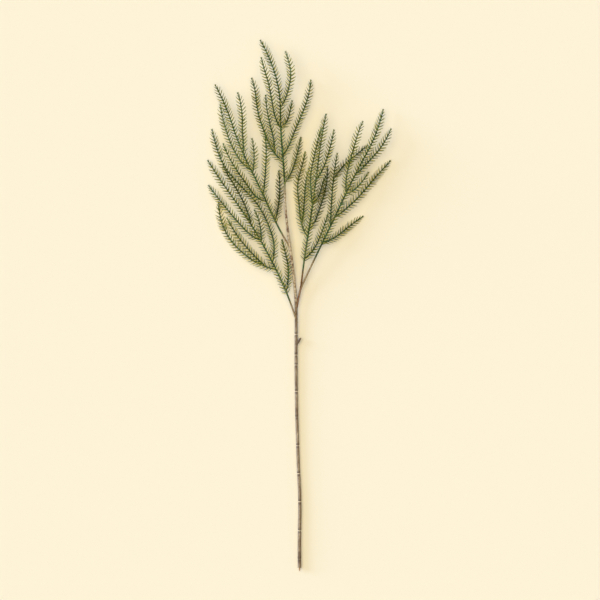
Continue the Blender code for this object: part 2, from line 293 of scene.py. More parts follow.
class Sheet:
    # a node tree being drawn
    def __init__(self, tree):
        self.tree = tree

    def node(self, kind, settings=None, sockets=None, out=0):
        added = self.tree.nodes.new(kind)
        for name, value in (settings or {}).items():
            if name == "stops":  # a ramp's places and colours
                ramp = added.color_ramp
                while len(ramp.elements) < len(value):
                    ramp.elements.new(0.5)
                for element, (place, colour) in zip(ramp.elements, value):
                    element.position = place
                    element.color = (*colour, 1)
            else:
                setattr(added, name, value)
        for name, value in (sockets or {}).items():
            if isinstance(name, int):
                socket = added.inputs[name]
            else:
                socket = next(one for one in added.inputs if name in (one.identifier, one.name))
            for one in value if isinstance(value, list) else [value]:
                if isinstance(one, Wire):
                    self.tree.links.new(one.socket, socket)
                else:
                    socket.default_value = one
        for number, one in enumerate(added.outputs):
            if out in (number, one.identifier, one.name):
                return Wire(self, one)

    def step(self, value, low, high):  # 0 below low, 1 above high
        settings = {"interpolation_type": "SMOOTHSTEP"}
        return self.node("ShaderNodeMapRange", settings, {"Value": value, "From Min": low, "From Max": high})

    def mix(self, factor, first, second):  # two colours
        sockets = {"Factor_Float": factor, "A_Color": first, "B_Color": second}
        return self.node("ShaderNodeMix", {"data_type": "RGBA"}, sockets, "Result_Color")

    def noise(self, place, scale, detail, roughness=0.5):
        sockets = {"Vector": place, "Scale": scale, "Detail": detail, "Roughness": roughness}
        return self.node("ShaderNodeTexNoise", None, sockets)

    def ramp(self, factor, *stops):  # of places and colours
        stops = [(stop, shade(*tint)) for stop, tint in stops]
        return self.node("ShaderNodeValToRGB", {"stops": stops}, {"Fac": factor})

    def random(self, low, high, seed):
        sockets = {"Min_001": low, "Max_001": high, "Seed": seed}
        return self.node("FunctionNodeRandomValue", {"data_type": "FLOAT"}, sockets, 1)

    def read(self, name):  # a value written on the geometry
        if self.tree.type == "GEOMETRY":
            return self.node("GeometryNodeInputNamedAttribute", {"data_type": "FLOAT"}, {"Name": name})
        return self.node("ShaderNodeAttribute", {"attribute_name": name}, out="Fac")

    def write(self, geometry, name, value, domain="POINT"):
        sockets = {"Geometry": geometry, "Name": name, "Value": value}
        return self.node("GeometryNodeStoreNamedAttribute", {"data_type": "FLOAT", "domain": domain}, sockets)


def shade(red, green, blue):  # a colour as it is read off a screen, 0 to 255
    shares = [value / 255 for value in (red, green, blue)]
    return tuple(share / 12.92 if share <= 0.04 else ((share + 0.055) / 1.055) ** 2.4 for share in shares)


def colour(red, green, blue):
    return (*shade(red, green, blue), 1)


def newMaterial(name):
    material = bpy.data.materials.new(name)
    material.use_nodes = True
    material.node_tree.nodes.clear()
    return material, Sheet(material.node_tree)


def surface(sheet, settings, relief=None, depth=0.0):
    sockets = dict(settings)
    if relief is not None:
        bump = {"Strength": 1, "Distance": depth, "Height": relief}
        sockets["Normal"] = sheet.node("ShaderNodeBump", None, bump)
    shader = sheet.node("ShaderNodeBsdfPrincipled", None, sockets)
    sheet.node("ShaderNodeOutputMaterial", None, {"Surface": shader})


barkLook = {
    "deep": (78, 56, 36),
    "middle": (124, 102, 75),
    "pale": (162, 142, 112),
    "grey": (200, 182, 152),
    "rust": (92, 56, 36),
    "upperMiddle": (160, 136, 102),
    "upperPale": (214, 196, 162),
    "ring": (232, 212, 176),
    "ringEdge": (66, 46, 30),
    # painted shade for the stem's sides and underside
    "side": (92, 68, 44),
    "green": (84, 96, 52),
    "upperFrom": (400, 450),  # how far along the bark turns knobbly
    "greenFrom": (566, 590),
    "roughness": 0.62,
    "depth": 0.4,
}


def makeBark():
    # streaked and bleached low down, then knobbly and rusty, then green at the top end, with painted shade on
    # its sides and underside
    material, sheet = newMaterial("mottledBark")
    place = sheet.node("ShaderNodeTexCoord", out="Object")
    drawnOut = sheet.node("ShaderNodeMapping", None, {"Vector": place, "Scale": (1, 0.07, 1)})
    fibre = sheet.noise(drawnOut, 900, 3, 0.6)
    patch = sheet.noise(place, 80, 2)
    flake = sheet.noise(place, 480, 4, 0.7)
    knob = sheet.noise(place, 300, 2)
    along = sheet.read("along")
    look = barkLook
    stops = ((0.38, look["deep"]), (0.47, look["middle"]), (0.55, look["pale"]), (0.64, look["grey"]))
    base = sheet.ramp(fibre * 0.45 + patch * 0.3 + flake * 0.25, *stops)
    stops = ((0.4, look["rust"]), (0.46, look["upperMiddle"]), (0.56, look["upperPale"]))
    upper = sheet.ramp(knob * 0.7 + patch * 0.3, *stops)
    base = sheet.mix(sheet.step(along + patch * 60, *look["upperFrom"]), base, upper)
    # painted shade: the bark darkens towards its sides and underside, as the normal turns away from straight
    # up
    normal = sheet.node("ShaderNodeTexCoord", out="Normal")
    upward = sheet.node("ShaderNodeSeparateXYZ", None, {"Vector": normal}, "Z")
    base = sheet.mix((1 - sheet.step(upward, 0.2, 0.8)) * 0.55, base, colour(*look["side"]))
    edge = sheet.read("ringEdge") * sheet.step(flake, 0.3, 0.5) * 0.85
    base = sheet.mix(edge, base, colour(*look["ringEdge"]))
    base = sheet.mix(sheet.read("ring") * sheet.step(flake, 0.3, 0.56), base, colour(*look["ring"]))
    base = sheet.mix(sheet.step(along + flake * 24, *look["greenFrom"]) * 0.8, base, colour(*look["green"]))
    relief = fibre * 0.5 + flake * 0.3 + knob * 0.4
    rough = look["roughness"] + fibre * 0.3
    surface(sheet, {"Base Color": base, "Roughness": rough}, relief, look["depth"] * mm)
    return material


branchLook = {
    "red": (124, 84, 48),
    "brown": (82, 54, 28),
    "tan": (168, 138, 94),
    "roughness": 0.5,
    "depth": 0.25,
}


def makeBranchBark():
    material, sheet = newMaterial("reddishBark")
    place = sheet.node("ShaderNodeTexCoord", out="Object")
    drawnOut = sheet.node("ShaderNodeMapping", None, {"Vector": place, "Scale": (1, 0.25, 1)})
    fibre = sheet.noise(drawnOut, 800, 5, 0.6)
    look = branchLook
    base = sheet.ramp(fibre, (0.38, look["brown"]), (0.5, look["red"]), (0.66, look["tan"]))
    rough = look["roughness"] + fibre * 0.3
    surface(sheet, {"Base Color": base, "Roughness": rough}, fibre, look["depth"] * mm)
    return material


coreLook = {
    "tan": (196, 152, 96),
    "dark": (150, 104, 60),
    "roughness": 0.7,
    "depth": 0.15,
}


def makeCoreWood():
    material, sheet = newMaterial("cutWood")
    place = sheet.node("ShaderNodeTexCoord", out="Object")
    drawnOut = sheet.node("ShaderNodeMapping", None, {"Vector": place, "Scale": (1, 0.12, 1)})
    grain = sheet.noise(drawnOut, 2200, 4, 0.6)
    look = coreLook
    base = sheet.ramp(grain, (0.35, look["dark"]), (0.62, look["tan"]))
    rough = look["roughness"] + grain * 0.2
    surface(sheet, {"Base Color": base, "Roughness": rough}, grain, look["depth"] * mm)
    return material


greenLook = {
    "coreDark": (35, 50, 20),
    "core": (92, 117, 54),
    "coreBlue": (96, 136, 88),
    "needleFoot": (33, 53, 12),
    "needleMiddle": (52, 78, 14),
    "needleTip": (112, 126, 42),
    "needlePale": (226, 208, 114),
    "young": (78, 106, 48),
    "shaded": (20, 32, 6),
    "bleached": (190, 188, 116),
    "forkYellow": (176, 171, 98),
    "tanWood": ((132, 108, 72), (176, 154, 114)),
    "redWood": ((96, 62, 32), (140, 106, 64)),
    "youngTip": (2, 20),  # how far from the tip the needles are young
    "youngShare": 0.5,
    "forkPatch": (2, 9),  # how far from the fork the yellow reaches
    "forkShare": 0.4,
    "roughness": 0.42,
    "specular": 0.15,
    "depth": 0.12,
}


def makeGreen(name, wood="tanWood"):
    # the needled twigs: a blue-green core, and needles that pale towards their tips
    material, sheet = newMaterial(name)
    place = sheet.node("ShaderNodeTexCoord", out="Object")
    mottle = sheet.noise(place, 420, 4, 0.6)
    drift = sheet.noise(place, 28, 2)
    outward = sheet.read("alongNeedle")  # below 0 on the core
    tone = sheet.read("tone")
    woodiness = sheet.read("woodiness")
    along = sheet.read("along")
    look = greenLook
    coreColour = sheet.mix(sheet.step(drift, 0.42, 0.6), colour(*look["core"]), colour(*look["coreBlue"]))
    coreColour = sheet.mix(sheet.step(mottle, 0.4, 0.62), colour(*look["coreDark"]), coreColour)
    paling = outward + (tone - 0.5) * 0.5 + (drift - 0.5) * 0.6
    stops = ((0.0, look["needleFoot"]), (0.5, look["needleMiddle"]), (1.0, look["needleTip"]))
    needleColour = sheet.ramp(paling, *stops)
    young = (1 - sheet.step(sheet.read("toTip"), *look["youngTip"])) * look["youngShare"]
    needleColour = sheet.mix(young, needleColour, colour(*look["young"]))
    normal = sheet.node("ShaderNodeTexCoord", out="Normal")
    upward = sheet.node("ShaderNodeSeparateXYZ", None, {"Vector": normal}, "Z")
    pale = sheet.read("paleness").most((1 - sheet.step(upward, -0.35, 0.05)) * 0.9)
    needleColour = sheet.mix(pale, needleColour, colour(*look["needlePale"]))
    base = sheet.mix(sheet.step(outward, -0.05, 0.06), coreColour, needleColour)
    twigTone = sheet.read("twigTone")
    base = sheet.mix((-twigTone).most(0), base, colour(*look["shaded"]))
    base = sheet.mix(twigTone.most(0), base, colour(*look["bleached"]))
    woodDark, woodPale = look[wood]
    woodColour = sheet.mix(sheet.step(mottle, 0.35, 0.65), colour(*woodDark), colour(*woodPale))
    base = sheet.mix(woodiness, base, woodColour)
    fork = (1 - sheet.step(along, *look["forkPatch"])) * sheet.step(mottle, 0.42, 0.6) * (1 - woodiness)
    base = sheet.mix(fork * look["forkShare"], base, colour(*look["forkYellow"]))
    rough = look["roughness"] + mottle * 0.2 + woodiness * 0.2
    settings = {"Base Color": base, "Roughness": rough, "Specular IOR Level": look["specular"]}
    surface(sheet, settings, mottle, look["depth"] * mm)
    return material


bark = makeBark()
branchBark = makeBranchBark()
coreWood = makeCoreWood()
leaderGreen = makeGreen("leaderGreen")
innerLeaderGreen = makeGreen("innerLeaderGreen", "redWood")
needleGreen = makeGreen("needleGreen")
print("materials ready")


stemShape = {
    "sides": 24,
    "slimming": 0.89,  # so that the lips of the scars, not the whole stem, lie on the floor
    "ringEvery": 3,
    # how far along each scar is, and how pale it is
    "scars": {13: 0, 55.5: 1, 99: 1, 141: 1, 183: 0.9, 226: 0, 264.5: 1, 304: 0.6, 319: 0.5, 350: 0.8},
    # offset from the scar, size there, how pale the ring is, how dark its edge
    "scarProfile": (
        (-5.0, 1.0, 0, 0), (-2.4, 0.99, 0, 0.8), (-0.8, 0.98, 0, 1), (-0.6, 0.9, 1, 0), (0.6, 0.9, 1, 0),
        (0.8, 1.03, 0, 1), (2.4, 1.04, 0, 0.8), (5.0, 1.0, 0, 0),
    ),
    "scarSpan": 6,  # on each side of a scar, clear of other rings
    "barkDepth": 0.3,
    "barkGrain": 5,
    "smoothBelow": 55,
    # how far to the right of its line the bark strays, at even steps
    "wander": (
        0, -0.3, -0.5, -0.2, -0.5, -1.4, -1.4, -1.2, -1.3, -1.4, -1.6,
        -1.8, -1.6, -1, -0.3, -0.6, -0.8, -0.7, -0.7, -0.5, 0,
    ),
}


barkRelief = {"layers": 2, "middle": 0.62}


def barkedRod(route, radii, shape, scars=()):
    # a straight rod, cut into rings and drawn in at its scars, then bent along the route
    length = route.length
    bpy.ops.object.select_all(action="DESELECT")
    bpy.ops.mesh.primitive_cylinder_add(
        vertices=shape["sides"], radius=mm * shape["slimming"], depth=length * mm,
        location=(0, 0, length * mm / 2),
    )
    rod = bpy.context.object
    bpy.ops.object.transform_apply(location=True, rotation=True, scale=True)
    edit(rod)
    cuts = set(np.arange(shape["ringEvery"], length - 0.5, shape["ringEvery"]))
    for scar in scars:
        cuts = {cut for cut in cuts if abs(cut - scar) >= shape["scarSpan"]}
        cuts |= {scar + offset for offset, *_ in shape["scarProfile"]}
    for cut in sorted(cuts):
        bpy.ops.mesh.select_all(action="SELECT")
        bpy.ops.mesh.bisect(plane_co=(0, 0, cut * mm), plane_no=(0, 0, 1))
    for scar in scars:
        for offset, size, *_ in shape["scarProfile"]:
            height = (scar + offset) * mm
            pick(lambda co: abs(co.z - height) < 0.01 * mm)
            bpy.ops.transform.resize(value=(size, size, 1), center_override=(0, 0, height))
    finishEdit()
    heights = np.array([vert.co.z for vert in rod.data.vertices]) / mm
    writeValues(rod, "along", heights)
    ring, ringEdge = np.zeros((2, len(heights)))
    for scar in scars:
        offsets, _, pale, dark = np.transpose(shape["scarProfile"])
        ring = np.maximum(ring, scars[scar] * np.interp(heights - scar, offsets, pale))
        ringEdge = np.maximum(ringEdge, np.interp(heights - scar, offsets, dark))
    writeValues(rod, "ring", ring)
    writeValues(rod, "ringEdge", ringEdge)
    drawn = drawRoute(route, radii)
    bend = rod.modifiers.new("alongRoute", "CURVE")
    bend.object = drawn
    bend.deform_axis = "POS_Z"
    applyModifier(rod, bend)
    grain = bpy.data.textures.new("barkRelief", "CLOUDS")
    grain.noise_scale = shape["barkGrain"] * mm
    grain.noise_depth = barkRelief["layers"]
    relief = rod.modifiers.new("relief", "DISPLACE")
    relief.texture = grain
    relief.texture_coords = "LOCAL"
    relief.strength = shape["barkDepth"] * mm
    relief.mid_level = barkRelief["middle"]
    applyModifier(rod, relief)
    bpy.data.objects.remove(drawn)
    return rod


def pushEnd(push, ratio):  # in edit mode, draws the top face up by so many millimetres and sizes it
    pickFace(Vector((0, 0, 1)))
    bpy.ops.mesh.extrude_region_move(TRANSFORM_OT_translate={"value": (0, 0, push * mm)})
    bpy.ops.transform.resize(value=(ratio, ratio, 1))


tornEnd = {"sides": 10, "firstStretch": 0.4, "lean": 0.35, "lip": (0.08, 0.6)}


def brokenShoot(length, footRadius, endRadius):
    # a stub of a shoot, standing at the origin: a prism drawn out and thinned, with a torn end
    bpy.ops.object.select_all(action="DESELECT")
    depth = tornEnd["firstStretch"] * length * mm
    bpy.ops.mesh.primitive_cylinder_add(vertices=tornEnd["sides"], radius=footRadius * mm, depth=depth)
    shoot = bpy.context.object
    shoot.location.z = depth / 2
    bpy.ops.object.transform_apply(location=True, rotation=True, scale=True)
    edit(shoot, "FACE")
    middle = (footRadius + endRadius) / 2
    for push, ratio in ((0.3, middle / footRadius), (0.22, endRadius / middle), tornEnd["lip"]):
        pushEnd(push * length, ratio)
    bpy.ops.transform.rotate(value=tornEnd["lean"], orient_axis="X", center_override=(0, 0, length * mm))
    finishEdit()
    return shoot


stemLine = Route((0, 0, 0), stemLayout["length"], stemLayout["headings"], (0, 0))
stemLine.points = stemRoute.points.copy()
stemLine.points[:, 0] += spread(stemShape["wander"], stemShares)
stem = barkedRod(stemLine, stemLayout["radii"], stemShape, stemShape["scars"])

sideShoot = {
    "at": 334,
    "lean": (0.56, 0.83, 0.2),
    "length": 13,
    "footRadius": 1.9,
    "endRadius": 1.3,
    "darkness": 0.8,
}
shoot = brokenShoot(sideShoot["length"], sideShoot["footRadius"], sideShoot["endRadius"])
turnTo(shoot, inScene(stemLine.at(sideShoot["at"])), sideShoot["lean"])
writeValues(shoot, "along", [sideShoot["at"]] * len(shoot.data.vertices))
writeValues(shoot, "ringEdge", [sideShoot["darkness"]] * len(shoot.data.vertices))
joinInto(stem, shoot)
cover(stem, bark, stemShape["smoothBelow"])
takeOver(stem, "main_stem")
print("stem made,", len(stem.data.vertices), "vertices")


# the bare branch on the right
branchShape = {
    "sides": 18,
    "slimming": 0.92,
    "ringEvery": 2.5,
    "radii": (2.0, 1.7),
    "barkDepth": 0.22,
    "barkGrain": 4,
    "smoothBelow": 55,
}
branch = barkedRod(routes["right_branch"], branchShape["radii"], branchShape)
cover(branch, branchBark, branchShape["smoothBelow"])
takeOver(branch, "right_branch")
print("branch made")


# the pale core that stands out of the cut end
coreShape = {
    "length": 5,
    "radius": 1.0,
    "endRadius": 0.6,
    "sides": 14,
    "waists": ((0.35, 0.94), (0.7, 0.8), (0.9, 0.7)),  # share of the length, size there
    "smoothBelow": 40,
}


def makeCoreTip():
    shape = coreShape
    bpy.ops.object.select_all(action="DESELECT")
    bpy.ops.mesh.primitive_cylinder_add(
        vertices=shape["sides"], radius=shape["radius"] * mm, depth=shape["length"] * mm,
        location=(0, 0, shape["length"] * mm / 2),
    )
    tip = bpy.context.object
    bpy.ops.object.transform_apply(location=True, rotation=True, scale=True)
    edit(tip, "FACE")
    for share, size in shape["waists"]:
        height = share * shape["length"] * mm
        bpy.ops.mesh.select_all(action="SELECT")
        bpy.ops.mesh.bisect(plane_co=(0, 0, height), plane_no=(0, 0, 1))
        pick(lambda co: abs(co.z - height) < 0.01 * mm)
        bpy.ops.transform.resize(value=(size, size, 1), center_override=(0, 0, height))
    endSize = shape["endRadius"] / shape["radius"]
    pick(lambda co: co.z > (shape["length"] - 0.01) * mm)
    bpy.ops.transform.resize(value=(endSize, endSize, 1), center_override=(0, 0, shape["length"] * mm))
    bpy.ops.mesh.select_mode(type="FACE")
    pickFace(Vector((0, 0, 1)))
    bpy.ops.mesh.inset(thickness=0.2 * mm)
    bpy.ops.transform.translate(value=(0, 0, -0.25 * mm))
    bpy.ops.mesh.inset(thickness=0.15 * mm)
    bpy.ops.transform.translate(value=(0.02 * mm, 0, 0.18 * mm))
    finishEdit()
    turnTo(tip, inScene(routes["main_stem"].at(0)), -routes["main_stem"].forward(2))
    return tip


coreTip = makeCoreTip()
cover(coreTip, coreWood, coreShape["smoothBelow"])
takeOver(coreTip, "core_tip")
print("core made")


# one needle, lying along +Y from the origin; each vertex knows its place along it
onCore = -0.2  # what stands for that place on cores, buds and stubs
needleShape = {
    "length": 10,
    "sections": ((0.0, 0.46), (0.16, 0.54), (0.42, 0.52), (0.7, 0.4), (0.9, 0.24), (1.0, 0.06)),
    "flatness": 0.8,  # height over width
    "bend": 0.07,  # how far the tip swings forwards, as a share of the length
}


def makeNeedle():
    shape = needleShape
    bpy.ops.object.select_all(action="DESELECT")
    bpy.ops.mesh.primitive_circle_add(vertices=4, radius=shape["sections"][0][1] * mm, fill_type="NGON")
    needle = bpy.context.object
    needle.rotation_euler = (math.radians(-90), 0, 0)
    needle.scale = (1, shape["flatness"], 1)
    bpy.ops.object.transform_apply(location=True, rotation=True, scale=True)
    edit(needle, "FACE")
    last = shape["sections"][0]
    for section in shape["sections"][1:]:
        bpy.ops.mesh.select_all(action="DESELECT")
        pickFace(Vector((0, 1, 0)))
        push = (section[0] - last[0]) * shape["length"] * mm
        swing = -shape["bend"] * (section[0] ** 2 - last[0] ** 2) * shape["length"] * mm
        bpy.ops.mesh.extrude_region_move(TRANSFORM_OT_translate={"value": (swing, push, 0)})
        ratio = section[1] / last[1]
        bpy.ops.transform.resize(value=(ratio, 1, ratio))
        last = section
    bpy.ops.mesh.select_all(action="SELECT")
    bpy.ops.mesh.normals_make_consistent(inside=False)
    finishEdit()
    writeValues(needle, "alongNeedle", [vert.co.y / (shape["length"] * mm) for vert in needle.data.vertices])
    bpy.ops.object.shade_smooth()
    needle.name = "needle"
    return needle


needle = makeNeedle()
print("needle made,", len(needle.data.polygons), "faces")


# what grows along a route: a core that is knobbly with needle bases, and the rows of needles
combShape = {
    "coreStep": 0.8,
    "coreSides": 8,
    "tipBare": 3.2,  # clear of needles' feet at the very tip
    "tipClosing": (30, 0.42),  # over this stretch the needles close in to this share of their angle
    "tipShortening": (17, 0.42),  # and over this one they shorten to this share
    "tipSlimming": (50, 0.72),  # and over this one they thin to this share
    "coreSize": 0.86,
    "knuckle": 0.1,  # how far the needle bases stand out of the core
    "footFlare": (5, 0.25),  # over this stretch at the fork the core swells by this share
    "tipPoint": (2.4, 0.45),  # and over this one at the tip it narrows to this share
    "jitter": 0.45,  # how far a needle's foot strays along the twig
    "turnStray": (-6, 6),
    "liftStray": (-4, 7),
    "lengthStray": (0.9, 1.06),
    "widthStray": (0.88, 1.12),
    "shortWidth": 0.6,  # of a needle's width that doesn't shrink with its length
    "clearance": 0.03,  # of the floor
    # side, first needle (back from the tip if below 0), spacing, angle off the twig, lift, length,
    # thickness, paleness
    "rows": (
        (1, 0.0, 1, 52, 16, 1.0, 1.05, 0.0),
        (-1, 2.4, 1, 52, 16, 1.0, 1.05, 0.0),
        (1, 1.2, 1, 34, 46, 0.5, 0.85, 0.0),
        (-1, 3.6, 1, 34, 46, 0.5, 0.85, 0.0),
        (1, 2.6, 1, 57, 8, 0.85, 1.0, 0.95),
        (-1, 0.2, 1, 57, 8, 0.85, 1.0, 0.95),
        (1, -44.0, 1, 50, 12, 0.95, 0.8, 0.35),
        (-1, -42.4, 1, 50, 12, 0.95, 0.8, 0.35),
        (1, -15.0, 0.5, 26, 14, 0.56, 0.9, 0.0),
        (-1, -13.8, 0.5, 26, 14, 0.56, 0.9, 0.0),
    ),
}


def makeComb():
    shape = combShape
    group = bpy.data.node_groups.new("needleComb", "GeometryNodeTree")
    sockets = (
        ("Geometry", "NodeSocketGeometry"), ("Route", "NodeSocketObject"), ("Needle", "NodeSocketObject"),
        ("Material", "NodeSocketMaterial"), ("Bare", "NodeSocketFloat"), ("Wood", "NodeSocketFloat"),
        ("Pitch", "NodeSocketFloat"), ("Seed", "NodeSocketInt"),
    )
    for name, kind in sockets:
        group.interface.new_socket(name, in_out="INPUT", socket_type=kind)
    group.interface.new_socket("Geometry", in_out="OUTPUT", socket_type="NodeSocketGeometry")
    sheet = Sheet(group)
    entry = sheet.node("NodeGroupInput").socket.node
    given = {name: Wire(sheet, entry.outputs[number]) for number, (name, _) in enumerate(sockets)}

    line = sheet.node("GeometryNodeObjectInfo", None, {"Object": given["Route"]}, "Geometry")
    whole = sheet.node("GeometryNodeCurveLength", None, {"Curve": line}) * 1000
    along = sheet.node("GeometryNodeSplineParameter", out="Length") * 1000
    line = sheet.write(line, "along", along)
    line = sheet.write(line, "toTip", whole - along)
    line = sheet.write(line, "radiusHere", sheet.node("GeometryNodeInputRadius"))
    here = sheet.read("along")

    # the core
    sockets = {"Curve": line, "Length": shape["coreStep"] * mm}
    core = sheet.node("GeometryNodeResampleCurve", {"mode": "LENGTH"}, sockets)
    phase = ((here - given["Bare"]) / (given["Pitch"] * 0.5)) % 1
    knuckles = (1 - phase) * shape["knuckle"] * sheet.step(here - given["Bare"], -2, 2)
    stretch, share = shape["footFlare"]
    flare = (1 - sheet.step(here, 0, stretch)) * share
    stretch, share = shape["tipPoint"]
    closing = sheet.step(whole - here, -0.4, stretch) * (1 - share) + share
    size = sheet.read("radiusHere") * (shape["coreSize"] + knuckles + flare) * closing * mm
    sockets = {"Resolution": shape["coreSides"], "Radius": 1.0}
    ring = sheet.node("GeometryNodeCurvePrimitiveCircle", None, sockets)
    sockets = {"Curve": core, "Profile Curve": ring, "Scale": size, "Fill Caps": True}
    core = sheet.node("GeometryNodeCurveToMesh", None, sockets)
    core = sheet.write(core, "alongNeedle", onCore)
    grown = [core]

    # the rows of needles
    oneNeedle = sheet.node("GeometryNodeObjectInfo", None, {"Object": given["Needle"]}, "Geometry")
    for number, (side, first, spacing, angle, lift, reach, thickness, paleness) in enumerate(shape["rows"]):
        seed = given["Seed"] + 10 * number
        sockets = {
            "Curve": line,
            "Start_001": ((whole if first < 0 else given["Bare"]) + first) * mm,
            "End_001": (whole - shape["tipBare"]) * mm,
        }
        needled = sheet.node("GeometryNodeTrimCurve", {"mode": "LENGTH"}, sockets)
        sockets = {"Curve": needled, "Length": given["Pitch"] * spacing * mm}
        feet = sheet.node("GeometryNodeCurveToPoints", {"mode": "LENGTH"}, sockets, "Points")
        tangent = Wire(sheet, feet.socket.node.outputs["Tangent"])
        sockets = {"Vector": tangent, "Scale": sheet.random(-1, 1, seed + 5) * shape["jitter"] * mm}
        strayed = sheet.node("ShaderNodeVectorMath", {"operation": "SCALE"}, sockets)
        axes = {"primary_axis": "Y", "secondary_axis": "Z"}
        sockets = {"Primary Axis": tangent, "Secondary Axis": (0, 0, 1)}
        ahead = sheet.node("FunctionNodeAxesToRotation", axes, sockets)
        stretch, share = shape["tipClosing"]
        opening = sheet.step(whole - here, 0, stretch) * (1 - share) + share
        stretch, share = shape["tipShortening"]
        growth = sheet.step(whole - here, 0, stretch) * (1 - share) + share
        stretch, share = shape["tipSlimming"]
        slimming = sheet.step(whole - here, 10, stretch) * (1 - share) + share
        turn = -side * math.radians(1) * (angle * opening + sheet.random(*shape["turnStray"], seed))
        rise = side * math.radians(1) * (lift + sheet.random(*shape["liftStray"], seed + 1))
        roll = math.pi if side < 0 else 0
        euler = sheet.node("ShaderNodeCombineXYZ", None, {"X": rise, "Y": roll, "Z": turn})
        euler = sheet.node("FunctionNodeEulerToRotation", None, {"Euler": euler})
        sockets = {"Rotation": ahead, "Rotate By": euler}
        pose = sheet.node("FunctionNodeRotateRotation", {"rotation_space": "LOCAL"}, sockets)
        length = reach * growth * sheet.random(*shape["lengthStray"], seed + 2)
        fixed = shape["shortWidth"]
        width = thickness * slimming * sheet.random(*shape["widthStray"], seed + 3)
        width = width * (fixed + (1 - fixed) * growth)
        size = sheet.node("ShaderNodeCombineXYZ", None, {"X": width, "Y": length, "Z": width})
        feet = sheet.node("GeometryNodeSetPosition", None, {"Geometry": feet, "Offset": strayed})
        sockets = {"Points": feet, "Instance": oneNeedle, "Rotation": pose, "Scale": size}
        row = sheet.node("GeometryNodeInstanceOnPoints", None, sockets)
        row = sheet.write(row, "tone", sheet.random(0, 1, seed + 4), "INSTANCE")
        row = sheet.write(row, "paleness", paleness, "INSTANCE")
        grown.append(sheet.node("GeometryNodeRealizeInstances", None, {"Geometry": row}))

    joined = sheet.node("GeometryNodeJoinGeometry", None, {"Geometry": [*reversed(grown), given["Geometry"]]})
    spot = sheet.node("GeometryNodeInputPosition")
    x, y, z = (sheet.node("ShaderNodeSeparateXYZ", None, {"Vector": spot}, axis) for axis in "XYZ")
    sockets = {"X": x, "Y": y, "Z": z.most(shape["clearance"] * mm)}
    clear = sheet.node("ShaderNodeCombineXYZ", None, sockets)
    joined = sheet.node("GeometryNodeSetPosition", None, {"Geometry": joined, "Position": clear})
    joined = sheet.write(joined, "woodiness", 1 - sheet.step(here, given["Wood"] - 8, given["Wood"] + 8))
    joined = sheet.node("GeometryNodeSetMaterial", None, {"Geometry": joined, "Material": given["Material"]})
    sheet.node("NodeGroupOutput", None, {"Geometry": joined})
    return group


comb = makeComb()
combSockets = {item.name: item.identifier for item in comb.interface.items_tree if item.in_out == "INPUT"}


budShape = {
    "length": 3.4,
    "radius": 0.95,
    "sides": 8,
    "foot": (0.2, 0.7),  # share of the length, of the radius
    "steps": ((0.2, 1.35), (0.28, 0.92), (0.22, 0.62), (0.1, 0.4)),  # each one's push and size
    "back": 2.2,  # from the end of the route
}


def makeBud():
    # a blunt pointed bud, standing at the origin
    shape = budShape
    bpy.ops.object.select_all(action="DESELECT")
    depth, radius = shape["foot"][0] * shape["length"] * mm, shape["foot"][1] * shape["radius"] * mm
    bpy.ops.mesh.primitive_cylinder_add(vertices=shape["sides"], radius=radius, depth=depth)
    bud = bpy.context.object
    bpy.ops.object.transform_apply(location=True, rotation=True, scale=True)
    edit(bud, "FACE")
    for push, ratio in shape["steps"]:
        pushEnd(push * shape["length"], ratio)
    finishEdit()
    bpy.ops.object.shade_smooth()
    bud.name = "bud"
    return bud


def copyOf(original):
    choose(original)
    bpy.ops.object.duplicate(linked=False)
    return bpy.context.object


bud = makeBud()
stubShape = {"length": 6, "footRadius": 0.85, "endRadius": 0.6, "smoothBelow": 50}
stub = brokenShoot(stubShape["length"], stubShape["footRadius"], stubShape["endRadius"])
stub.name = "stub"
bpy.ops.object.shade_smooth_by_angle(angle=math.radians(stubShape["smoothBelow"]))


def growPiece(node, radii, bare, wood, pitch, material, seed):
    # the bud at the tip of the route is the start of the piece, and the core and its needles grow onto it
    route = routes[node]
    piece = copyOf(bud)
    foot = route.length - budShape["back"]
    turnTo(piece, inScene(route.at(foot)), route.forward(foot + 1))
    count = len(piece.data.vertices)
    writeValues(piece, "along", [route.length] * count)
    writeValues(piece, "toTip", [0] * count)
    writeValues(piece, "alongNeedle", [onCore] * count)
    drawn = drawRoute(route, radii)
    grow = piece.modifiers.new("grow", "NODES")
    grow.node_group = comb
    values = {"Route": drawn, "Needle": needle, "Material": material, "Seed": seed}
    values |= {"Bare": float(bare), "Wood": float(wood), "Pitch": float(pitch)}
    for name, value in values.items():
        grow[combSockets[name]] = value
    applyModifier(piece, grow)
    bpy.data.objects.remove(drawn)
    return piece


leaderShape = {
    "radii": (1.6, 1.35, 1.0, 0.8),
    # bare stretch at the base, brown up to, needles' pitch, stub at, how the stub leans, material
    "top_leader": (9, -20, 5.1, 70, (0.8, 0.5, 0.4), leaderGreen),
    "upper_left_leader": (44, 25, 4.8, 116, (0.6, 0.7, 0.5), leaderGreen),
    "lower_left_leader": (46, 33, 5.2, 124, (0.5, 0.8, 0.5), leaderGreen),
    "inner_right_leader": (41, 26, 4.9, 115, (0.6, 0.7, 0.5), innerLeaderGreen),
    "outer_right_leader": (72, 47, 4.9, 140, (0.9, 0.3, 0.4), leaderGreen),
    # how far along, and the core's tone there: below 0 darker, above 0 paler
    "tones": {
        "top_leader": ((0, 0),),
        "upper_left_leader": ((28, 0), (34, -0.12), (42, -0.12), (48, 0.16), (75, 0.08), (90, 0)),
        "lower_left_leader": ((24, 0), (32, -0.15), (44, -0.15), (49, 0.18), (75, 0.12), (95, 0)),
        "inner_right_leader": ((8, 0), (16, -0.2), (38, -0.2), (46, 0.18), (64, 0.15), (72, 0)),
        "outer_right_leader": ((40, 0), (50, -0.25), (72, -0.35), (80, 0)),
    },
    "needleShare": 0.3,  # of that tone on the needles
    "seeds": (1000, 50),  # the first, and the gap to the next
}
firstSeed, seedGap = leaderShape["seeds"]
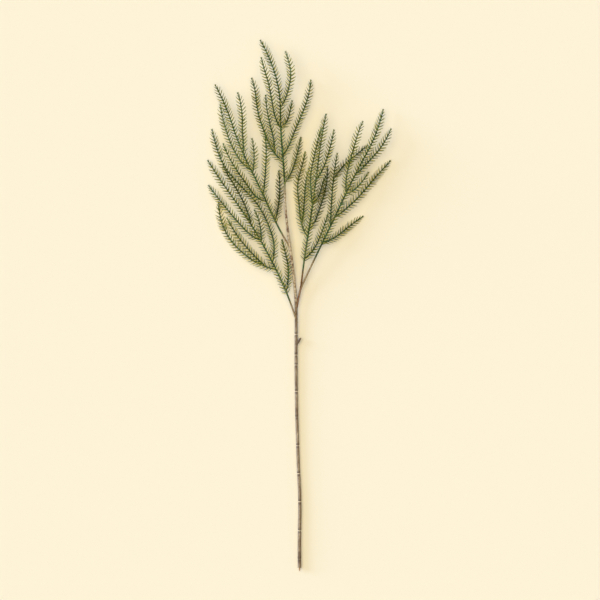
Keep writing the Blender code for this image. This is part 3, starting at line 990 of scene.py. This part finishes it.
for number, node in enumerate(leaderLayout):
    bare, wood, pitch, stubAt, lean, material = leaderShape[node]
    seed = firstSeed + seedGap * number
    piece = growPiece(node, leaderShape["radii"], bare, wood, pitch, material, seed)
    tone = np.interp(readValues(piece, "along"), *zip(*leaderShape["tones"][node]))
    tone[readValues(piece, "alongNeedle") > 0] *= leaderShape["needleShare"]
    writeValues(piece, "twigTone", tone)
    ahead = routes[node].forward(stubAt)
    right = ahead.cross(Vector((0, 0, 1))).normalized()
    peg = copyOf(stub)
    leaning = lean[1] * ahead + lean[0] * right + lean[2] * Vector((0, 0, 1))
    turnTo(peg, inScene(routes[node].at(stubAt)), leaning)
    count = len(peg.data.vertices)
    writeValues(peg, "along", [stubAt] * count)
    writeValues(peg, "toTip", [routes[node].length - stubAt] * count)
    writeValues(peg, "alongNeedle", [onCore] * count)
    peg.data.materials.append(material)
    joinInto(piece, peg)
    takeOver(piece, node)
print("leaders made")


twigShape = {
    "radii": (1.05, 0.74),
    "bare": 4,
    "wood": -20,  # none is brown
    "seeds": (3000, 50),
    "pitch": 4.8,
    "otherPitches": {
        "top_twig_1": 4.6, "top_twig_2": 4.6, "upper_left_twig_5": 5.1, "lower_left_twig_2": 5.1,
        "lower_left_twig_3": 5.1, "inner_right_twig_2": 5.1, "inner_right_twig_3": 4.6,
        "inner_right_twig_4": 5.1, "outer_right_twig_4": 5.2,
    },
    # below 0 a twig is darker than the rest, above 0 paler
    "tones": {
        "top_twig_1": 0.04, "top_twig_4": 0.04, "top_twig_7": 0.06, "upper_left_twig_1": -0.4,
        "upper_left_twig_4": 0.05, "upper_left_twig_5": 0.06, "upper_left_twig_6": 0.06,
        "lower_left_twig_2": 0.05, "lower_left_twig_5": -0.14, "lower_left_twig_7": -0.4,
        "inner_right_twig_2": 0.05, "inner_right_twig_4": -0.4, "inner_right_twig_5": 0.06,
        "inner_right_twig_6": -0.38, "outer_right_twig_2": -0.22, "outer_right_twig_3": -0.38,
        "outer_right_twig_6": 0.08, "outer_right_twig_7": -0.12,
    },
}
firstSeed, seedGap = twigShape["seeds"]
bare, wood = twigShape["bare"], twigShape["wood"]
for number, node in enumerate(twigLayout):
    pitch = twigShape["otherPitches"].get(node, twigShape["pitch"])
    seed = firstSeed + seedGap * number
    piece = growPiece(node, twigShape["radii"], bare, wood, pitch, needleGreen, seed)
    writeValues(piece, "twigTone", [twigShape["tones"].get(node, 0)] * len(piece.data.vertices))
    takeOver(piece, node)
for helper in (needle, bud, stub):
    bpy.data.objects.remove(helper)
print("twigs made")


floorLook = {"colour": (254, 243, 215), "fleck": (240, 226, 196), "fleckShare": 0.06, "size": 8.0}


def makeFloor():
    bpy.ops.object.select_all(action="DESELECT")
    bpy.ops.mesh.primitive_plane_add(size=floorLook["size"])
    floor = bpy.context.object
    floor.name = "paperFloor"
    material, sheet = newMaterial("paleSheet")
    place = sheet.node("ShaderNodeTexCoord", out="Object")
    grain = sheet.noise(place, 900, 3)
    flecks = grain * floorLook["fleckShare"]
    base = sheet.mix(flecks, colour(*floorLook["colour"]), colour(*floorLook["fleck"]))
    surface(sheet, {"Base Color": base, "Roughness": 0.9, "Specular IOR Level": 0.1})
    floor.data.materials.append(material)


makeFloor()

lightShape = {
    # where each comes from, how wide it is in degrees, strength, colour
    "overhead": ((-0.2, 0.06, 1), 84, 2.118, (255, 226, 118)),
    "fromLeft": ((-0.93, 0.3, 0.2), 22, 3.290, (171, 199, 255)),
    "window": ((-0.66, 0.25, 0.71), 80, 0.930, (171, 199, 255)),
    "skyStrength": 0.460,
    "skyColour": (164, 198, 255),
    "backdrop": (254, 243, 215),  # what the camera and mirrors see beyond the floor
}
world = bpy.data.worlds.new("studioAir")
world.use_nodes = True
bpy.context.scene.world = world
world.node_tree.nodes.clear()
air = Sheet(world.node_tree)
toCamera, toGloss, through = (
    air.node("ShaderNodeLightPath", out=f"Is {name} Ray") for name in ("Camera", "Glossy", "Transmission")
)
sockets = {"Color": colour(*lightShape["skyColour"]), "Strength": lightShape["skyStrength"]}
sky = air.node("ShaderNodeBackground", None, sockets)
backdrop = air.node("ShaderNodeBackground", None, {"Color": colour(*lightShape["backdrop"])})
beyond = toCamera.most(toGloss).most(through)
seen = air.node("ShaderNodeMixShader", None, {"Fac": beyond, 1: sky, 2: backdrop})
air.node("ShaderNodeOutputWorld", None, {"Surface": seen})


def hangLight(name):
    place, angle, strength, tint = lightShape[name]
    bpy.ops.object.select_all(action="DESELECT")
    bpy.ops.object.light_add(type="SUN", location=place)
    light = bpy.context.object
    light.name = name
    light.data.angle = math.radians(angle)
    light.data.energy = strength
    light.data.color = shade(*tint)
    light.rotation_mode = "QUATERNION"
    light.rotation_quaternion = (-Vector(place)).to_track_quat("-Z", "Y")


for name in ("overhead", "fromLeft", "window"):
    hangLight(name)

cameraShape = {"lens": 200, "sensor": 36, "aim": (0.7, 8.1), "width": 900}
distance = cameraShape["width"] * mm * cameraShape["lens"] / cameraShape["sensor"]
aimX, aimY = cameraShape["aim"]
bpy.ops.object.select_all(action="DESELECT")
bpy.ops.object.camera_add(location=(aimX * mm, aimY * mm, distance))
camera = bpy.context.object
camera.data.lens = cameraShape["lens"]
camera.data.sensor_width = cameraShape["sensor"]
bpy.context.scene.camera = camera
bpy.context.scene.view_settings.view_transform = "Standard"
print("stage set")
